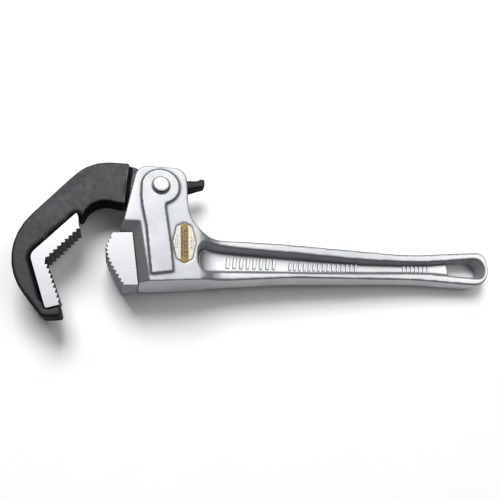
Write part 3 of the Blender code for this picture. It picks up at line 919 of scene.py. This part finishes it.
def make_spring():
    """A compression spring of round wire with closed ends, reaching from its seat to the plunger."""
    per_turn, sides = 40, 14
    wire = 2 * SPRING_WIRE
    closed_pitch = wire * 1.08
    free = SPRING_TOP - SPRING_FLOOR - wire
    solid = bmesh.new()
    rows = []
    for i in range(SPRING_TURNS * per_turn + 1):
        turn = i / per_turn
        active = min(max(turn - 1, 0), SPRING_TURNS - 2)
        height = (turn - active) * closed_pitch + active * (free - 2 * closed_pitch) / (SPRING_TURNS - 2)
        out = Vector((math.cos(math.tau * turn), math.sin(math.tau * turn), 0))
        centre = out * SPRING_COIL + Vector((0, 0, height + SPRING_WIRE))
        ring = arc((0, 0), SPRING_WIRE, 0, 360, sides)[:-1]
        rows.append([solid.verts.new(centre + out * u + Vector((0, 0, v))) for u, v in ring])
    solid.faces.new(rows[0])
    solid.faces.new(rows[-1])
    for low, high in zip(rows, rows[1:]):
        for i in range(sides):
            j = (i + 1) % sides
            solid.faces.new((low[i], low[j], high[j], high[i]))
    place = aim((CAM_RADIUS, SPRING_FLOOR, 0), (0, 1, 0))
    spring = finish_mesh("return_spring_coil", solid, MATERIALS["plain_steel"], place)
    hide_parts("return_spring")
    low, high = at(CAM_RADIUS, SPRING_FLOOR), at(CAM_RADIUS, SPRING_TOP)
    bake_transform(spring)


def make_plunger():
    profile = [
        (0, 0),
        (4.5, 0, 0.8),
        (5.2, 0.9, 0.5),
        (5.2, 5.0, 0.3),
        (2.6, 5.0, 0.4),
        (2.6, 25.0, 0.5),
        (0, 25.0),
    ]
    place = aim((CAM_RADIUS, -CAM_HEIGHT - 0.3, 0), (0, -1, 0))
    plunger = turned("spring_plunger_turned", profile, MATERIALS["plain_steel"], place)
    stand_for(plunger, "plunger_body", "plain_steel", "spring_plunger")
    place = aim((CAM_RADIUS, BORE_FLOOR + 0.3, 0), (0, 1, 0))
    profile = ring_profile(2.0, 5.2, 0, 1.2, 0.2)
    seat = turned("spring_seat_turned", profile, MATERIALS["plain_steel"], place)
    stand_for(seat, "handle_body", "plain_steel", "spring_seat")


# The stage

FOOT_AT_HEAD = 11.0  # where the back boss and the handle's end touch the floor
FOOT_AT_END = 338.0
END_HALF = 9.4


def make_stage():
    """The floor, tilted so that the wrench rests on it with the back of its head and the handle's end."""
    solid = bmesh.new()
    bmesh.ops.create_grid(solid, x_segments=8, y_segments=8, size=4.0)
    mesh = bpy.data.meshes.new("floor")
    solid.to_mesh(mesh)
    solid.free()
    floor = new_object("floor", mesh, floor_paper())
    head, end = at(FOOT_AT_HEAD, 0, -BOSS_HALF), at(FOOT_AT_END, 0, -END_HALF)
    floor.rotation_euler.y = -math.atan2(end.z - head.z, end.x - head.x)
    floor.location = (head.x, 0, head.z - 0.2 * MM)


def area_light(name, place, target, size, power):
    light = bpy.data.lights.new(name, "AREA")
    light.shape = "RECTANGLE"
    light.size, light.size_y = size
    light.energy = power
    obj = bpy.data.objects.new(name, light)
    bpy.context.collection.objects.link(obj)
    obj.location = place
    obj.rotation_mode = "QUATERNION"
    obj.rotation_quaternion = (Vector(target) - Vector(place)).to_track_quat("-Z", "Y")


def make_lights():
    centre = (0.0, 0.0, 0.02)
    area_light("overhead", (1.0, 0.5, 2.0), (0.1, 0.2, 0.0), (1.6, 1.6), 17)
    area_light("key", (-0.6, 1.6, 2.3), centre, (1.5, 1.5), 88)
    area_light("front_fill", (0.0, -2.4, 0.45), centre, (3.0, 0.5), 8)
    world = bpy.data.worlds.new("studio")
    world.use_nodes = True
    world.node_tree.nodes["Background"].inputs["Color"].default_value = (0.9, 0.95, 1.0, 1)
    world.node_tree.nodes["Background"].inputs["Strength"].default_value = 0.10
    bpy.context.scene.world = world
    bpy.context.scene.view_settings.view_transform = "Standard"


CAMERA_PLACE = Vector((-0.14534, -0.14911, 0.45366))
CAMERA_TARGET = Vector((-0.02574, -0.00559, 0.024))
CAMERA_ROLL = math.radians(39.40)


def make_camera():
    data = bpy.data.cameras.new("camera")
    data.lens = 36.0
    data.sensor_width = 36.0
    data.clip_start = 0.02
    camera = bpy.data.objects.new("camera", data)
    bpy.context.collection.objects.link(camera)
    camera.location = CAMERA_PLACE
    camera.rotation_mode = "QUATERNION"
    look = (CAMERA_TARGET - CAMERA_PLACE).to_track_quat("-Z", "Y")
    camera.rotation_quaternion = look @ Matrix.Rotation(CAMERA_ROLL, 4, "Z").to_quaternion()
    bpy.context.scene.camera = camera


make_camera()
make_handle()
make_hook()
make_heel()
for side, word in ((1, "front"), (-1, "back")):
    make_bars(side, word)
    make_label(side, word)
make_pin()
make_pivot_rings()
make_snap_ring()
make_heel_pins()
for node, (share, seat) in SCREWS.items():
    make_screw(node, share, seat)
make_spring()
make_plunger()
make_stage()
make_lights()
